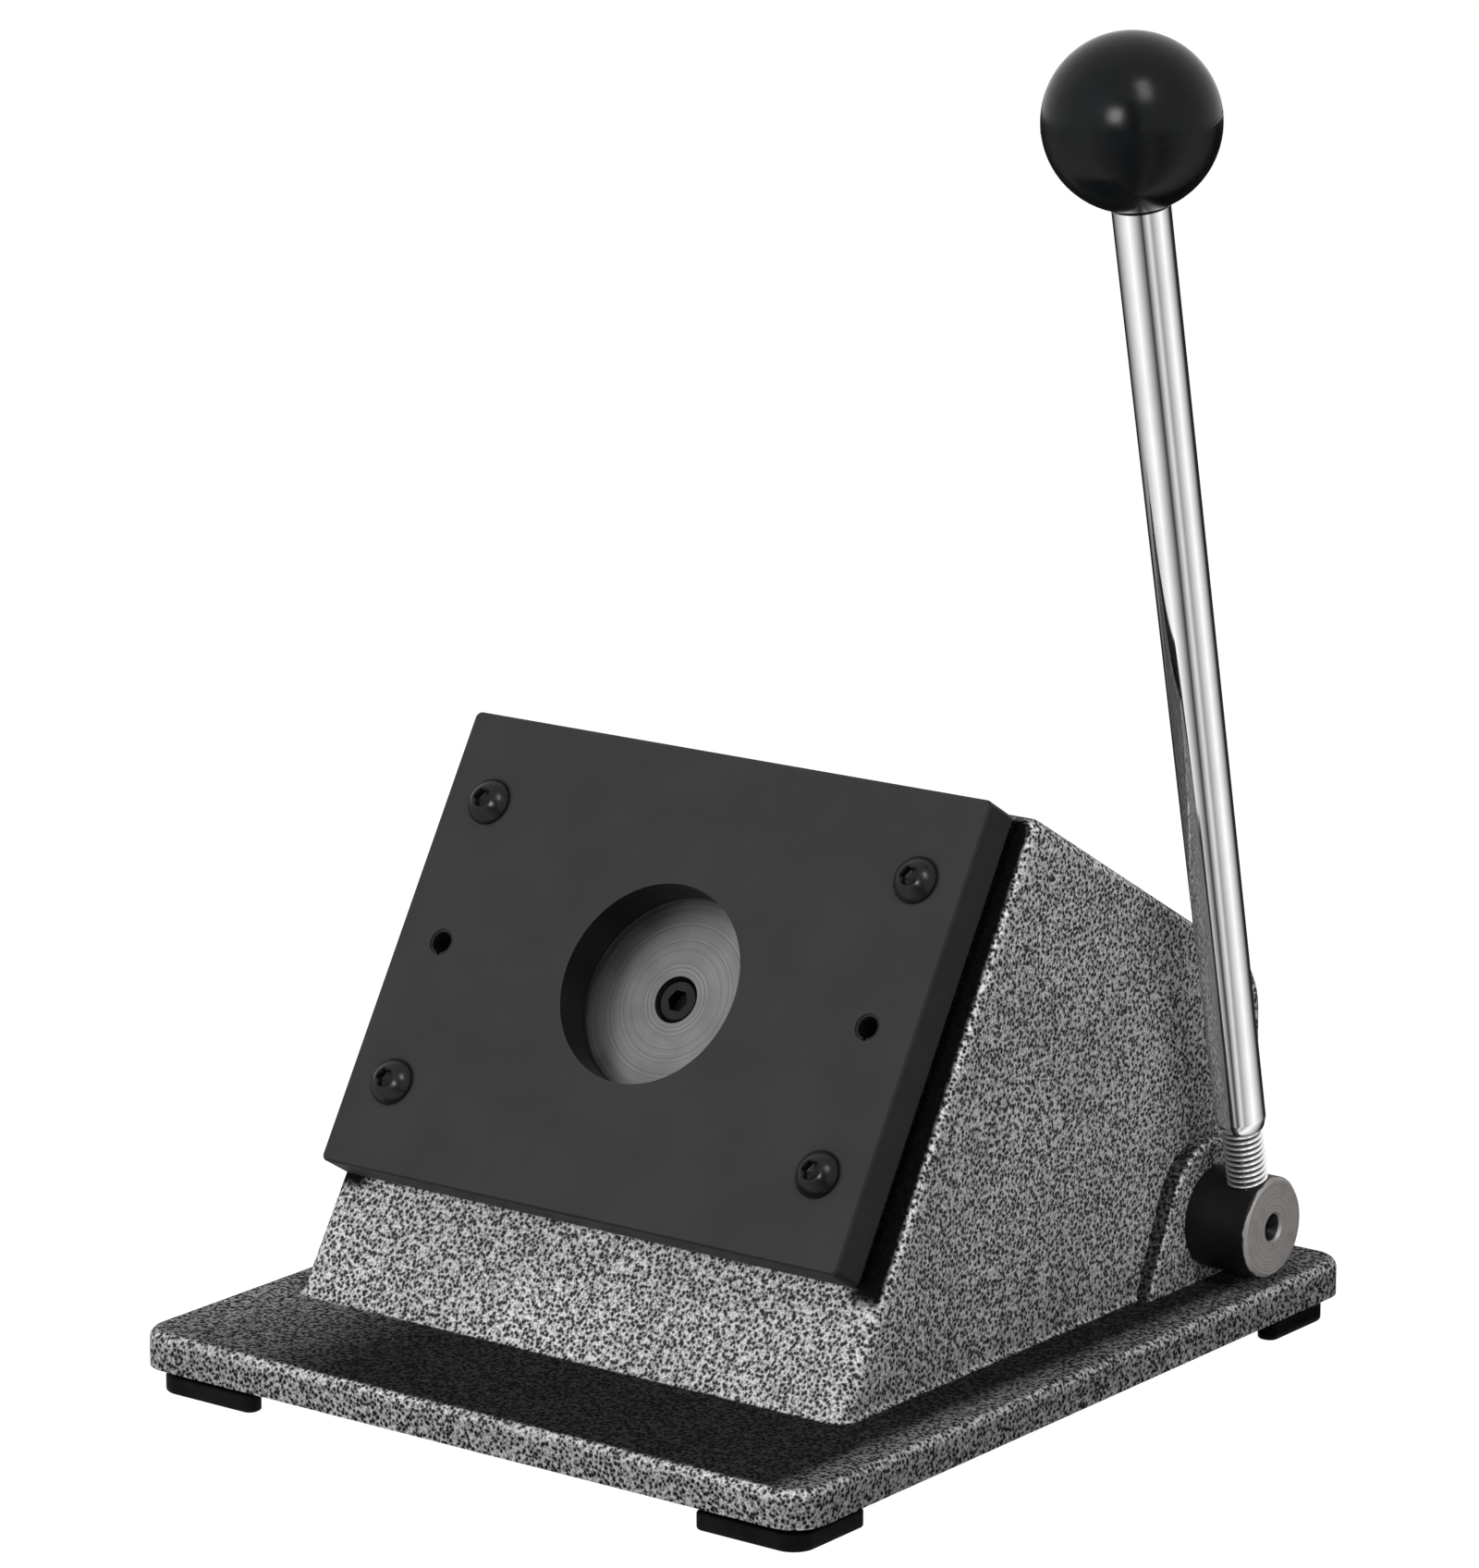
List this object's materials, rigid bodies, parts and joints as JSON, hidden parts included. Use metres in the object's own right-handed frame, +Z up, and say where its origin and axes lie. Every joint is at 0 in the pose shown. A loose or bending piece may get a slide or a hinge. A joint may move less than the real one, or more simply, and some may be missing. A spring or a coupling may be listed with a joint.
{
  "type": "lever disc cutter",
  "caption": "Bench-top lever press that cuts round discs for button badges: hollow wedge casting, die plate with a round hole, cam-driven punch, chromed lever with a ball knob.",
  "frame": {"origin": "on the table, under the middle of the machine's overall box", "axes": "+X to the right of the person at the machine, +Y away from them, +Z up"},
  "size_m": [0.2556, 0.27, 0.392],
  "materials": {
    "hammered_grey": "hammered grey and black powder coat on cast aluminium",
    "black_plate": "satin black oxide on steel plate",
    "black_screw": "black oxide on steel screws and pins",
    "tool_steel": "ground tool steel",
    "ground_steel": "ground steel, lightly oiled",
    "black_shaft": "black oxide, with a bright turned end",
    "bronze": "sintered bronze",
    "spring_steel": "oiled spring steel",
    "zinc_plated": "zinc plate",
    "chrome": "polished chrome",
    "black_ball": "polished black phenolic",
    "brass": "turned brass",
    "black_rubber": "moulded black rubber"
  },
  "bodies": {
    "machine": {"cast_body": "hammered_grey", "die_plate": "black_plate", "guide_plate": "black_plate", "left_spacer": "black_plate", "right_spacer": "black_plate", "plate_screws": "black_screw", "locating_pins": "black_screw", "ram_bush": "bronze", "left_bush": "bronze", "right_bush": "bronze", "return_spring": "spring_steel", "spring_seat": "zinc_plated", "foot_screws": "zinc_plated", "foot_front_left": "black_rubber", "foot_front_right": "black_rubber", "foot_rear_left": "black_rubber", "foot_rear_right": "black_rubber"},
    "lever": {"lever_shaft": "black_shaft", "cam": "tool_steel", "cam_key": "tool_steel", "cam_set_screw": "black_screw", "thrust_washer": "zinc_plated", "retaining_ring": "spring_steel", "lever_rod": "chrome", "ball_knob": "black_ball", "knob_insert": "brass"},
    "punch": {"punch": "tool_steel", "punch_screw": "black_screw", "ram": "ground_steel", "follower_pad": "tool_steel"}
  },
  "joints": [
    {"name": "lever_turn", "type": "hinge", "parent": "machine", "child": "lever", "pos_m": [-0.0138, 0.09326, 0.0374], "axis": [1, 0, 0], "range_deg": [0, 65]},
    {"name": "punch_slide", "type": "slide", "parent": "machine", "child": "punch", "axis": [0, -0.8545, 0.5195], "range_m": [0, 0.0128], "stiffness_N_per_m": 5700, "springref_m": -0.0088, "deforming": ["return_spring"]}
  ],
  "couplings": [
    {"joint": "punch_slide", "follows": "lever_turn", "m_per_rad": 0.01128}
  ]
}
